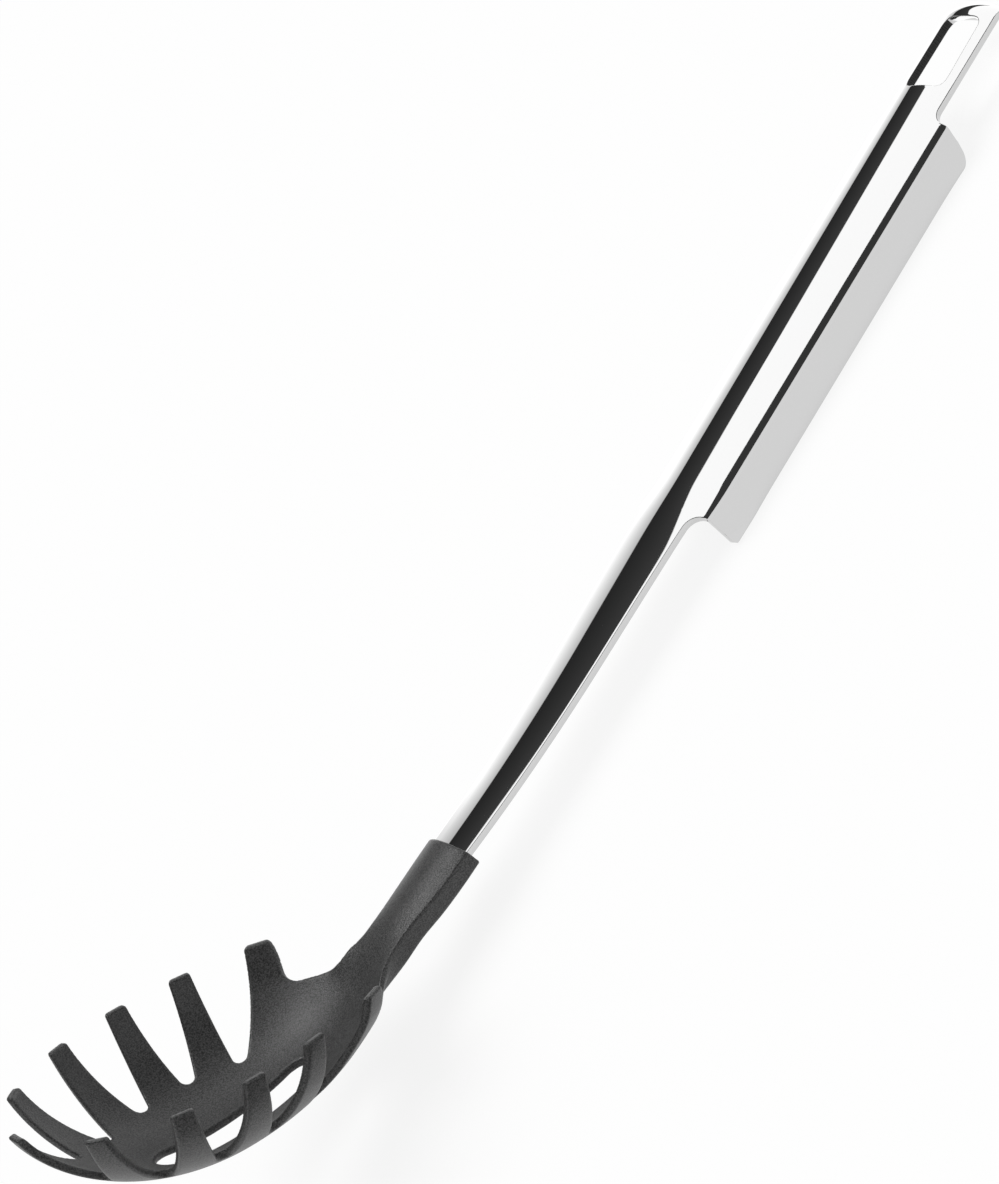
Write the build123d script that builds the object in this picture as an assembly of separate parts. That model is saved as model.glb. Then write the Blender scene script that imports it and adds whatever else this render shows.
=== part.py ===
from build123d import *
import math
import os

# Pasta server: a moulded nylon bowl with eleven teeth on a pressed sheet-steel handle.
# The model is drawn with X from the front tooth to the hanging loop, Z up and the crown line of
# the straight handle at zero height. XZ is the plane of symmetry. At the end both pieces are moved
# so that the origin lies under the middle of the whole, on the surface that it rests on.
# Lengths are in millimetres and angles in degrees.

# Lengths of the stretches from the front tooth to the loop's end
head_length = 100.0
shaft_length = 88.5
grip_length = 102.0
loop_length = 33.0

# Sheet of the handle, crowned across its width and bent upwards near the head
sheet_thickness = 1.8
crown_radius = 29.3
bend_radius = 550.0
bend_length = 50.0

# Tang of the same sheet, which the head is moulded round
tang_length = 18.0
tang_end_half_width = 4.4
tang_corner_radius = 3.0
tang_clearance = 0.05

# Shaft, which widens from the socket to the grip
shaft_mouth_half_width = 7.3
shaft_grip_half_width = 9.0

# Grip, whose sides are folded down into flared skirts
fold_angle = 23.5
fold_radius = 2.2
skirt_lean = 5.0
skirt_flare_radius = 39.5
skirt_flare_angle = 11.6
skirt_lower_corner = 1.5
skirt_upper_corner = 4.5
skirt_upper_slant = 2.5
grip_lower_fillet = 3.6
grip_upper_fillet = 3.0

# Hanging loop with its window and curled end
loop_half_width = 9.7
loop_corner_radius = 4.0
curl_radius = 5.5
curl_angle = 62.0
window_setback = 8.6
window_end_setback = 5.6
window_near_half_width = 7.0
window_far_half_width = 6.5
window_corner_radius = 2.4

# Bowl, two half ellipsoids that meet at its widest section and are cut off by the tip plane
tip_plane_height = 52.8
tip_plane_tilt = 31.4
bowl_front_length = 42.0
bowl_rear_length = 51.1
bowl_half_width = 35.6
bowl_depth = 32.1
bowl_rise = 8.0
wall_thickness = 1.7

# Teeth and the gaps between them
tooth_tip_width = 4.6
gap_floor_radius = 1.7

# Drain slot along the bottom of the bowl
slot_length = 40.4
slot_half_width = 5.1
slot_setback = 26.0

# Neck, which ends in the socket round the tang
socket_side_wall = 1.0
socket_top_wall = 1.7
neck_height = 6.5

# Cuts run past what they cut by this much
overrun = 2.0

# Places of the side teeth along the tip plane, as shares of the bowl's length in it
tooth_setback_shares = (0.103, 0.276, 0.453, 0.626, 0.812)

# Floors of the gaps between teeth, as shares of the bowl's length and of its half width
gap_floor_shares = ((0.135, 0.21), (0.246, 0.42), (0.371, 0.565), (0.507, 0.585), (0.634, 0.483))

# Rounding of the neck's long edges, as a share of the height of its side
neck_edge_share = 0.22

# Start of the neck and end of the wall inside it, as shares of the bowl's length in plan
neck_start_share = 0.779
wall_end_share = 0.883

# Sections of the neck inside the bowl's wall, evenly spaced with those behind it: half width at the
# top and at the floor as shares of the bowl's, heights of edge, crown and floor above the bowl's
# outer surface as shares of the wall thickness
root_section_shares = (
    (0.169, 0.154, 1.29, 0.88, 0.23),
    (0.272, 0.188, 2.06, 1.07, -0.57),
)

# Sections of the neck from there to the mouth: half width at the top and at the floor as shares of
# the socket's, heights of edge, crown and floor above the socket's crown as shares of the neck's
# height
neck_section_shares = (
    (0.86, 0.68, 0.12, 0.07, -0.78),
    (0.71, 0.66, 0.06, 0.17, -0.88),
    (0.80, 0.74, -0.07, 0.13, -0.98),
    (0.91, 0.85, -0.21, 0.06, -1.02),
    (1.00, 0.93, -0.34, 0.00, -1.02),
)

# Rim of the scoop between the last tooth and the neck, as shares of the bowl's length in plan and
# of its half width
scoop_rim_shares = (
    (0.834, 0.690),
    (0.790, 0.610),
    (0.770, 0.565),
    (0.769, 0.500),
    (0.782, 0.432),
    (0.818, 0.329),
    (0.844, 0.278),
    (0.896, 0.216),
    (0.955, 0.184),
    (1.026, 0.164),
)

x_mouth = head_length
x_tang_end = x_mouth - tang_length
x_bend = x_mouth + bend_length
x_grip = x_mouth + shaft_length
x_grip_end = x_grip + grip_length
x_loop_end = x_grip_end + loop_length
x_curl = x_loop_end - curl_radius * math.sin(math.radians(curl_angle))

# Half axes of the bowl's outer surface in the tip plane, and its length there
tip_share = math.sqrt(1 - (bowl_rise / bowl_depth) ** 2)
tip_front = bowl_front_length * tip_share
tip_rear = bowl_rear_length * tip_share
tip_side = bowl_half_width * tip_share
tip_length = tip_front + tip_rear
bowl_plan_length = tip_length * math.cos(math.radians(tip_plane_tilt))

# Taller and wider than anything that a block of this size has to cut
reach = bowl_half_width + bowl_depth


def sheet_rise(x):
    """Height of the sheet's crown line on the bend."""
    return bend_radius - math.sqrt(bend_radius ** 2 - (x_bend - x) ** 2)


def bowl_bottom(x):
    """Height of the bowl's outer surface on the centre line at x, behind its widest section."""
    tilt = math.radians(tip_plane_tilt)
    along = x * math.cos(tilt) - tip_front
    below = x * math.sin(tilt) - bowl_rise
    square = (math.sin(tilt) / bowl_rear_length) ** 2 + (math.cos(tilt) / bowl_depth) ** 2
    slope = below * math.cos(tilt) / bowl_depth ** 2 - along * math.sin(tilt) / bowl_rear_length ** 2
    rest = (along / bowl_rear_length) ** 2 + (below / bowl_depth) ** 2 - 1
    return tip_plane_height - (slope + math.sqrt(slope ** 2 - square * rest)) / square


def both_sides(solid):
    """The solid and its mirror image across the plane of symmetry."""
    return [solid, mirror(solid, about=Plane.XZ)]


def plan_block(half_points, radii):
    """A tall block over a symmetrical outline, given its +Y half and that half's corner radii."""
    points = list(half_points) + [(x, -y) for x, y in reversed(half_points)]
    outline = FilletPolyline(*points, radius=list(radii) + list(reversed(radii)), close=True)
    return extrude(make_face(outline), amount=reach, both=True)


def crowned_section(clearance=0.0):
    """Section of the flat-edged sheet: a band between two arcs about one centre."""
    angle = math.degrees(math.asin((loop_half_width + overrun) / crown_radius))
    arcs = [
        CenterArc((0, -crown_radius), radius, 90 - angle, 2 * angle)
        for radius in (crown_radius + clearance, crown_radius - sheet_thickness - clearance)
    ]
    ends = [Line(arcs[0] @ end, arcs[1] @ end) for end in (0, 1)]
    return Plane.YZ * make_face(arcs + ends)


def grip_section():
    """Section of the grip: the same crown, folded down at both sides into flared skirts."""
    crown_centre = Vector(0, -crown_radius)
    fold = math.radians(fold_angle)
    lean = math.radians(skirt_lean)
    fold_centre = crown_centre + Vector(math.sin(fold), math.cos(fold)) * (crown_radius - fold_radius)
    flare_reach = fold_radius + skirt_flare_radius
    flare_centre = fold_centre + Vector(math.cos(lean), math.sin(lean)) * flare_reach
    crown = []
    side = []
    for depth in (0.0, sheet_thickness):
        crown.append(CenterArc(crown_centre, crown_radius - depth, 90 - fold_angle, 2 * fold_angle))
        side.append(CenterArc(fold_centre, fold_radius - depth, skirt_lean, 90 - fold_angle - skirt_lean))
        side.append(CenterArc(flare_centre, skirt_flare_radius + depth, 180 + skirt_lean, skirt_flare_angle))
    lip = Line(side[1] @ 1, side[3] @ 1)
    side.append(lip)
    edges = crown + side + [mirror(edge, about=Plane.YZ) for edge in side]
    return Plane.YZ * make_face(edges), (lip @ 0).Y, fold_centre.Y


def bent_sheet(x_end, clearance=0.0):
    """The crowned sheet from the start of the bend to x_end, turned about the bend's far axis."""
    axis = Axis((x_bend, 0, bend_radius), (0, 1, 0))
    angle = math.degrees(math.asin((x_bend - x_end) / bend_radius))
    return revolve(Pos(x_bend, 0, 0) * crowned_section(clearance), axis=axis, revolution_arc=angle)


def curled_sheet():
    """The crowned sheet past the window, turned down about an axis close below it."""
    axis = Axis((x_curl, 0, -curl_radius), (0, 1, 0))
    return revolve(Pos(x_curl, 0, 0) * crowned_section(), axis=axis, revolution_arc=curl_angle)


def folded_sheet():
    """The straight stretch with its skirts, their corners rounded as seen from the side."""
    section, lip_height, shelf = grip_section()
    straight = extrude(Pos(x_bend, 0, 0) * section, amount=x_curl - x_bend)
    side_view = FilletPolyline(
        (x_bend - overrun, reach),
        (x_bend - overrun, shelf),
        (x_grip, shelf),
        (x_grip, lip_height),
        (x_grip_end - skirt_upper_slant, lip_height),
        (x_grip_end, shelf),
        (x_loop_end, shelf),
        (x_loop_end, reach),
        radius=[0, 0, 0, skirt_lower_corner, skirt_upper_corner, 0, 0, 0],
        close=True,
    )
    return straight & extrude(Plane.XZ * make_face(side_view), amount=reach, both=True)


def make_handle():
    """One pressed sheet: tang, shaft, folded grip and curled hanging loop."""
    blank = plan_block(
        [
            (x_tang_end, tang_end_half_width),
            (x_mouth, shaft_mouth_half_width),
            (x_grip, shaft_grip_half_width),
            (x_grip, reach),
            (x_grip_end, reach),
            (x_grip_end, loop_half_width),
            (x_loop_end, loop_half_width),
        ],
        [tang_corner_radius, 0, grip_lower_fillet, 0, 0, grip_upper_fillet, loop_corner_radius],
    )
    window_start = x_grip_end + window_setback
    window = plan_block(
        [
            (window_start, window_near_half_width),
            (x_loop_end - window_end_setback, window_far_half_width),
        ],
        [window_corner_radius, window_corner_radius],
    )
    stretches = [bent_sheet(x_tang_end), folded_sheet(), curled_sheet()]
    trimmed = [stretch & blank for stretch in stretches]
    return trimmed[0] + trimmed[1] + trimmed[2] - window


def half_shell(length, keep):
    """One half of the bowl's wall, between two half ellipsoids, below the tip plane."""
    ball = Sphere(1)
    outer = scale(ball, by=(length, bowl_half_width, bowl_depth))
    inset = wall_thickness
    inner = scale(ball, by=(length - inset, bowl_half_width - inset, bowl_depth - inset))
    wall = split(outer - inner, Plane.YZ, keep)
    return split(Pos(tip_front, 0, bowl_rise) * wall, Plane.XY, Keep.BOTTOM)


def tip_corners(setback):
    """Front and rear corner of a tooth's end, on the tip ellipse on the +Y side."""
    along = setback - tip_front
    half_axis = tip_front if along < 0 else tip_rear
    y = tip_side * math.sqrt(1 - (along / half_axis) ** 2)
    tangent = Vector(y / tip_side, -along * tip_side / half_axis ** 2).normalized()
    step = tangent * (tooth_tip_width / 2)
    return Vector(setback, y) - step, Vector(setback, y) + step


def gap_cutter(corners, floor):
    """A V-shaped gap with a round floor, drawn in the tip plane and cut down through the wall."""
    round_floor = Pos(floor.X, floor.Y) * Circle(gap_floor_radius)
    wedge = make_hull([round_floor.edge(), Line(*corners)])
    beyond = [corner * 2 - floor for corner in corners]
    mouth = make_face(Polyline(corners[0], beyond[0], beyond[1], corners[1], close=True))
    return extrude(wedge + mouth, amount=-reach)


def make_bowl():
    """The wall with its gaps and drain slot, all cut square to the tip plane."""
    front_corner = Vector(0, tooth_tip_width / 2)
    teeth = [(front_corner, front_corner)]
    teeth += [tip_corners(share * tip_length) for share in tooth_setback_shares]
    cutters = []
    for tooth, next_tooth, (x_share, y_share) in zip(teeth[:-1], teeth[1:], gap_floor_shares):
        floor = Vector(x_share * tip_length, y_share * bowl_half_width)
        cutters += both_sides(gap_cutter((tooth[1], next_tooth[0]), floor))
    slot_middle = slot_setback + slot_length / 2
    slot = Pos(slot_middle, 0, overrun) * SlotOverall(slot_length, 2 * slot_half_width)
    cutters.append(extrude(slot, amount=-reach))
    wall = half_shell(bowl_front_length, Keep.BOTTOM) + half_shell(bowl_rear_length, Keep.TOP)
    return Pos(0, 0, tip_plane_height) * Rot(0, tip_plane_tilt, 0) * (wall - cutters)


def neck_section(x, top, floor, edge, crown, base):
    """Section of the neck at x from its half widths and heights, with its corners rounded."""
    corners = [Vector(top, edge), Vector(floor, base)]
    mirrored = [Vector(-corner.X, corner.Y) for corner in corners]
    outline = [
        ThreePointArc(corners[0], (0, crown), mirrored[0]),
        Polyline(mirrored[0], mirrored[1], corners[1], corners[0]),
    ]
    face = make_face(outline)
    return Pos(x, 0, 0) * (Plane.YZ * fillet(face.vertices(), neck_edge_share * (edge - base)))


def make_neck():
    """The neck from inside the bowl's wall to the socket's mouth, with an arched top."""
    x_start = neck_start_share * bowl_plan_length
    spaces = len(root_section_shares) + len(neck_section_shares) - 1
    stations = [x_start + n * (x_mouth - x_start) / spaces for n in range(spaces + 1)]
    sections = []
    for x, shares in zip(stations, root_section_shares):
        widths = [share * bowl_half_width for share in shares[:2]]
        heights = [bowl_bottom(x) + share * wall_thickness for share in shares[2:]]
        sections.append(neck_section(x, *widths, *heights))
    half_width = shaft_mouth_half_width + tang_clearance + socket_side_wall
    socket_crown = sheet_rise(x_mouth) + socket_top_wall
    for x, shares in zip(stations[len(sections):], neck_section_shares):
        widths = [share * half_width for share in shares[:2]]
        heights = [socket_crown + share * neck_height for share in shares[2:]]
        sections.append(neck_section(x, *widths, *heights))
    return loft(sections)


def scoop_cutter():
    """The space between the last tooth and the neck on the +Y side."""
    rim = [Vector(x * bowl_plan_length, y * bowl_half_width) for x, y in scoop_rim_shares]
    first, last = rim[0], rim[-1]
    closing = Polyline(last, (last.X, reach), (first.X, reach), first)
    return extrude(make_face([Spline(*rim), closing]), amount=reach, both=True)


def make_head():
    """One moulding: bowl, scoops, neck and the socket that fits the tang."""
    scoops = both_sides(scoop_cutter())
    behind = Pos(wall_end_share * bowl_plan_length, 0, 0) * Box(
        reach, reach, reach, align=(Align.MIN, Align.CENTER, Align.CENTER)
    )
    bowl = make_bowl() - scoops - behind
    neck = make_neck() - scoops
    pocket_plan = plan_block(
        [
            (x_tang_end - tang_clearance, tang_end_half_width + tang_clearance),
            (x_mouth, shaft_mouth_half_width + tang_clearance),
            (x_mouth + overrun, shaft_mouth_half_width + tang_clearance),
        ],
        [tang_corner_radius, 0, 0],
    )
    pocket = bent_sheet(x_tang_end - overrun, tang_clearance) & pocket_plan
    return bowl + neck - pocket


os.makedirs("parts", exist_ok=True)
pieces = {"head": make_head(), "handle": make_handle()}
boxes = [piece.bounding_box() for piece in pieces.values()]
x_middle = (min(box.min.X for box in boxes) + max(box.max.X for box in boxes)) / 2
to_origin = Pos(-x_middle, 0, -min(box.min.Z for box in boxes))
for name, piece in pieces.items():
    export_step(to_origin * piece, f"parts/{name}.step")
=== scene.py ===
"""Looks of the pasta server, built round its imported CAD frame: polished sheet handle and nylon head.

All shapes are worked out in millimetres in the model's drawing frame: X from the front tooth to the
hanging loop, Z up, crown line of the straight handle at zero height. to_frame() moves them into the
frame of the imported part, in metres.
"""

import math

import bpy
import numpy as np
from mathutils import Euler, Matrix, Vector


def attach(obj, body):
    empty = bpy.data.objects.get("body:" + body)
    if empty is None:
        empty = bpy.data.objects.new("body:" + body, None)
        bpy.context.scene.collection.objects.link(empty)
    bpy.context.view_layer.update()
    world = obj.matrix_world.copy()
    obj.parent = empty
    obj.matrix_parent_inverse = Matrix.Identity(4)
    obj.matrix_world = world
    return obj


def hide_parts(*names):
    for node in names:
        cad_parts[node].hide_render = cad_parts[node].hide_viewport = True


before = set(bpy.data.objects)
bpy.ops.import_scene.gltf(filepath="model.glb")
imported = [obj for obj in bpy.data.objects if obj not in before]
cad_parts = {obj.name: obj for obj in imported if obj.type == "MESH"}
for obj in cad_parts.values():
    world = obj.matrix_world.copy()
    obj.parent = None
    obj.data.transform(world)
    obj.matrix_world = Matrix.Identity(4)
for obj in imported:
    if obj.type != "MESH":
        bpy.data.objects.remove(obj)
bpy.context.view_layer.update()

# Metres in a millimetre, a number too small to matter, and the drawing frame's place in the part's
MM = 0.001
HAIR = 1e-6
SHIFT = np.array([-161.416, 0.0, 12.098])

# Stations along the handle
X_TANG_END = 82.0
X_MOUTH = 100.0
X_BEND = 150.0
X_GRIP = 187.3
X_GRIP_END = 290.5
X_LOOP_END = 323.5

# Section of the sheet
SHEET = 1.8
CROWN_RADIUS = 29.3
FLATTENED_RADIUS = 44.0
X_FLATTEST = 178.0
X_CROWNED = 196.0
FOLD_RADIUS = 1.7
FLARE_RADIUS = 39.5
FOLD_START = math.radians(26.1)
FOLD_END = math.radians(90.6)
FLARE_END = math.radians(79.6)
V_FOLD = CROWN_RADIUS * FOLD_START
V_FLARE = V_FOLD + FOLD_RADIUS * (FOLD_END - FOLD_START)
V_LIP = V_FLARE + FLARE_RADIUS * (FOLD_END - FLARE_END)
LIP_HEIGHT = -SHIFT[2]
BEND_RADIUS = 550.0
CURL_RADIUS = 5.5
CURL_ANGLE = math.radians(62.0)
X_CURL = X_LOOP_END - CURL_RADIUS * math.sin(CURL_ANGLE)
S_LOOP_END = X_CURL + CURL_RADIUS * CURL_ANGLE

# Outline of the sheet
EDGE_ROUNDING = 0.2
TANG_END_HALF = 4.4
TANG_CORNER = 2.5
SHAFT_MOUTH_HALF = 7.3
SHAFT_GRIP_HALF = 9.5
LOOP_HALF = 9.7
LOWER_FILLET = 4.1
UPPER_FILLET = 3.6
LOOP_CORNER = 4.2
WINDOW_START = 299.1
WINDOW_END = 317.9
WINDOW_NEAR_HALF = 7.0
WINDOW_FAR_HALF = 6.5
WINDOW_CORNER = 2.4
SKIRT_LOWER_CORNER = 0.9
SKIRT_LOWER_SLANT = 0.9
SKIRT_UPPER_CORNER = 4.5
SKIRT_UPPER_SLANT = 2.5
SLANT_LENGTH = 12.0
SPLAY = 0.9
SPLAY_LENGTH = 16.0

# Net of the sheet: stretches of close rows, points across it, how near points are joined, how far a
# corner is mitred, and which edges count as the window's long walls
TANG_END_ROWS = 3.0
FILLET_ROWS = 1.0
GRIP_START_ROWS = 2.0
GRIP_END_ROWS = 8.0
LOOP_END_ROWS = 2.0
LEAST_RAIL = 2.0
MIDDLE_POINTS = 25
RAIL_POINTS = 9
SKIRT_POINTS = 41
JOIN_DECIMALS = 4
EDGE_TURNS = np.radians([30, 60, 90])
MITRE_LIMIT = 1.3
WALL_MARGIN = 1.0
WALL_SIDEWAYS = 0.6

# Bowl
TILT = math.radians(31.4)
TIP_HEIGHT = 52.8
BOWL_FRONT = 42.0
BOWL_REAR = 51.1
BOWL_HALF = 35.6
BOWL_DEPTH = 32.1
BOWL_RISE = 8.0
WALL = 1.7
TIP_SHARE = math.sqrt(1 - (BOWL_RISE / BOWL_DEPTH) ** 2)
TIP_FRONT = BOWL_FRONT * TIP_SHARE
TIP_REAR = BOWL_REAR * TIP_SHARE
TIP_SIDE = BOWL_HALF * TIP_SHARE
TOOTH_TIP = 4.6
TOOTH_SETBACKS = (9.3, 24.9, 40.9, 56.5, 73.2)
GAP_FLOORS = ((12.2, 7.5), (22.2, 15.0), (33.5, 20.1), (45.7, 20.8), (57.2, 17.2))
GAP_FLOOR_RADIUS = 1.7
DRAIN_START, DRAIN_END, DRAIN_HALF = 26.0, 66.4, 5.1

# Rearmost teeth: where they start to lean outwards, and by how much
LEAN_FROM_U, LEAN_FROM_W = 58.0, -14.0
LEAN_RUN = 10.0
LEAN_BACK = 0.6
LEAN_OUT_SHARE = 0.053

# Roundings of the moulding's edges
GAP_EDGE = 0.6
DRAIN_EDGE = 0.3
RIM_EDGE = 0.45
CREST_EDGE = 0.01
NECK_TOP_EDGE = 0.35
NECK_FLOOR_EDGE = 0.9
MOUTH_EDGE = 0.4

# Neck: place, half width at the top and at the floor, heights of edge, crown and floor
NECK = np.array([
    (60.0, 13.0, 5.5, 4.7, 2.0, 0.7),
    (66.7, 11.0, 6.7, 5.3, 3.05, 0.3),
    (73.3, 7.6, 5.8, 4.4, 4.35, -1.1),
    (80.0, 7.25, 5.5, 3.65, 4.85, -1.7),
    (86.7, 7.9, 6.2, 2.85, 4.6, -2.4),
    (93.3, 8.4, 7.1, 2.2, 4.3, -2.6),
    (100.0, 8.35, 7.8, 1.8, 4.0, -2.6),
])
ARCH_REACH = 1.3
JUNCTION_START, JUNCTION_END = 62.0, 73.0
JUNCTION_HALF, JUNCTION_FADE = 18.0, 5.0

# Scoops beside the neck: points of one rim in plan, and a line well outside the head
SCOOP_RIM = np.array([
    (66.5, 30.0), (65.0, 26.0), (64.2, 24.5), (61.0, 21.9), (59.8, 20.2), (59.9, 17.8), (61.6, 15.6),
    (64.6, 12.2), (66.7, 10.4), (69.5, 8.8), (73.5, 8.3), (79.0, 8.8), (84.0, 10.5),
])
SCOOP_OUTSIDE = 60.0
RIM_STEPS = 5
SCOOP_FROM = 52.0
NEAR_SURFACE = 3.0

# Skin of the head: its cells, their box, and how its points are settled
HEAD_STEP, QUICK_HEAD_STEP = 0.4, 0.8
HEAD_LOW, HEAD_HIGH = (-1.6, -36.0, -4.2), (101.2, 36.0, 54.0)
SETTLING_ROUNDS = 6
SMOOTHING_ROUNDS = 4
SMOOTHING_SHARE = 0.5
PROBE_SHARE = 1 / 8
LEAST_SLOPE = 0.25

# Finishes: noises as scale per metre and detail, greys, roughnesses as the least and what varies
NYLON_GRAIN = (2600.0, 3.0)
NYLON_GRAIN_STRENGTH, NYLON_GRAIN_HEIGHT = 0.35, 0.0002
NYLON_FLECKS = (3200.0, 2.0)
NYLON_FLECK_STOPS = ((0.38, 0.012), (0.62, 0.07))
NYLON_CLOUD = (90.0, 2.0)
NYLON_ROUGHNESS, NYLON_CLOUD_ROUGHNESS = 0.36, 0.08
NYLON_SPECULAR = 0.4
STEEL_GREY = 0.64
STEEL_HAZE = (60.0, 3.0)
STEEL_ROUGHNESS, STEEL_HAZE_ROUGHNESS = 0.02, 0.025
PUNCHED_LINE_SCALE = 3500.0
# Painted shade: the punched walls' dark greys
PUNCHED_SHADE_STOPS = ((0.3, 0.025), (0.7, 0.05))
PUNCHED_ROUGHNESS, PUNCHED_LINE_ROUGHNESS = 0.3, 0.2
FLOOR_GREY = 0.98
FLOOR_GLOW_SHARE = 0.86
FLOOR_HALF = 3000.0

# Cards that the steel reflects: angles in degrees from straight up towards +Y, lengths in mm
CARD_DISTANCE = 700.0
CARD_MIDDLE = 414.0
CARD_MIDDLE_X = (CARD_MIDDLE + SHIFT[0]) * MM
CARD_SPAN = (-1500.0, 1500.0)
LAMP_GLOW = 1.48
LAMP_ANGLES = (55.0, 9.0, 92.0)

# Dark slot beside the lamp: two places along X, how far across the card each of its edges lies at
# them, its share of the ramp, and the ramp's stops, each a place and a grey
DARK_SLOT_X = (283.0, 545.0)
DARK_SLOT_EDGES = ((-273.0, -61.0), (80.0, 240.0))
DARK_SLOT_MIDDLE_SHARE = (CARD_MIDDLE - DARK_SLOT_X[0]) / (DARK_SLOT_X[1] - DARK_SLOT_X[0])
DARK_SLOT_RAMP_SHARE = 0.25
DARK_SLOT_STOPS = (
    (0.0, 1.0), (0.248, 1.0), (0.252, 0.04), (0.38, 0.027), (0.498, 0.018), (0.502, 0.5), (0.68, 1.0),
    (1.0, 1.0),
)

# Wall below the slot, shaded beside the head, and the plain cards
WALL_SHADE = 0.85
WALL_SHADE_X = (60.0, 100.0)
CEILING_GREY = 0.05
CEILING_ANGLES = (-18.0, -44.0, 9.0)
HEAD_LAMP_GLOW = 20.0
HEAD_LAMP_ANGLES = (22.0, 12.0, 33.0)
HEAD_LAMP_SPAN = (-304.0, -224.0)
HEAD_LAMP_DISTANCE = 690.0

# Patches of floor that are seen in reflections alone, in the imported part's frame: painted lamplight
# on the far side and painted shade on the near side
FLOOR_CARD_LIFT = 0.4
FAR_FLOOR_X, FAR_FLOOR_Y = (-55.0, 3000.0), (16.0, 1000.0)
NEAR_FLOOR_X, NEAR_FLOOR_Y = (-900.0, -75.0), (-1200.0, -37.0)
NEAR_FLOOR_SHADE = 0.16

# Light
WORLD_LIGHT = 0.42
LAMP_POWER = 1.88
LAMP_WIDTH = math.radians(50.0)
LAMP_DIRECTION = (-0.25, 0.45, 1.0)

# Camera, as measured from the photo: its place in the drawing frame, its turns about X, Y and Z in
# degrees, and its lens and sensor
CAMERA_PLACE = np.array([-9.4735, -728.3198, 418.6623])
CAMERA_TURNS = (48.90287, 44.54943, -43.82987)
CAMERA_LENS = 121.62
CAMERA_SENSOR = 36.0
CAMERA_NEAREST, CAMERA_FARTHEST = 0.05, 20.0


def to_frame(points):
    """Points in the drawing frame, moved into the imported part's frame and turned into metres."""
    return (points + SHIFT) * MM


def mesh_object(name, points, faces, *materials, slots=None):
    """A smooth-shaded object from an array of points and one of quads, with a material slot number
    for each quad where it has more than one material."""
    mesh = bpy.data.meshes.new(name)
    mesh.vertices.add(len(points))
    mesh.vertices.foreach_set("co", np.ascontiguousarray(points, dtype=np.float32).ravel())
    mesh.loops.add(faces.size)
    mesh.loops.foreach_set("vertex_index", np.ascontiguousarray(faces, dtype=np.int32).ravel())
    mesh.polygons.add(len(faces))
    mesh.polygons.foreach_set("loop_start", np.arange(len(faces), dtype=np.int32) * faces.shape[1])
    mesh.polygons.foreach_set("use_smooth", np.ones(len(faces), dtype=bool))
    for material in materials:
        mesh.materials.append(material)
    if slots is not None:
        mesh.polygons.foreach_set("material_index", np.ascontiguousarray(slots, dtype=np.int32))
    mesh.update(calc_edges=True)
    mesh.validate()
    piece = bpy.data.objects.new(name, mesh)
    bpy.context.scene.collection.objects.link(piece)
    return piece


def eased(share):
    """A share between 0 and 1 that starts and ends without a corner: 3 of its squares less 2 of its
    cubes."""
    share = np.clip(share, 0, 1)
    return share * share * (3 - 2 * share)


def through(stations, place):
    """Rows of a table read between its rows: the cubic curve that passes through every row, with half
    the difference of a row's two neighbours as its slope there."""
    k = place.astype(int)
    t = (place - k)[..., None]
    first, last = stations[:1] * 2 - stations[1:2], stations[-1:] * 2 - stations[-2:-1]
    padded = np.concatenate([first, stations, last])
    before, here, after, beyond = (padded[k + i] for i in range(4))
    curve = here + t * (after - before) / 2 + t ** 2 * (before - 2.5 * here + 2 * after - beyond / 2)
    return curve + t ** 3 * (-before / 2 + 1.5 * here - 1.5 * after + beyond / 2)


def last_place(stations):
    """The place just short of a table's last row."""
    return len(stations) - 1 - HAIR


# Handle

def crown_at(s):
    """Radius of the sheet's crown: flatter before the folds of the grip start, by an eased rise from
    the mouth times an eased fall over the folds' start."""
    rise = eased((s - X_MOUTH) / (X_FLATTEST - X_MOUTH))
    fall = eased((X_CROWNED - s) / (X_CROWNED - X_FLATTEST))
    return CROWN_RADIUS + (FLATTENED_RADIUS - CROWN_RADIUS) * rise * fall


def section_point(s, a, depth):
    """Half width and height of the sheet's section at a distance a from its crown line along the
    surface, depth below the outer face. It is an arc of the crown radius, then the tight fold, then
    the skirt's shallow arc the other way, splayed a little at both ends of the grip."""
    radius = crown_at(s)
    start = V_FOLD / radius
    fold = (V_FLARE - V_FOLD) / (FOLD_END - start)
    turn = np.where(a < V_FOLD, a / radius, start + (a - V_FOLD) / fold)
    turn = np.where(a > V_FLARE, FOLD_END - (a - V_FLARE) / FLARE_RADIUS, turn)
    sin, cos = np.sin(turn), np.cos(turn)
    fold_y = (radius - fold) * np.sin(start)
    fold_z = (radius - fold) * np.cos(start) - radius
    flare_y = fold_y + (fold + FLARE_RADIUS) * math.sin(FOLD_END)
    flare_z = fold_z + (fold + FLARE_RADIUS) * math.cos(FOLD_END)
    y = np.where(a < V_FOLD, radius * sin, fold_y + fold * sin)
    z = np.where(a < V_FOLD, radius * (cos - 1), fold_z + fold * cos)
    y = np.where(a > V_FLARE, flare_y - FLARE_RADIUS * sin, y)
    z = np.where(a > V_FLARE, flare_z - FLARE_RADIUS * cos, z)
    from_end = np.minimum(s - X_GRIP, X_GRIP_END - s)
    splay = SPLAY * np.clip(1 - from_end / SPLAY_LENGTH, 0, 1) ** 2
    splay = splay * np.clip((a - V_FLARE) / (V_LIP - V_FLARE), 0, 1) ** 2
    return y - depth * sin + splay, np.maximum(z - depth * cos, LIP_HEIGHT)


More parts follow.
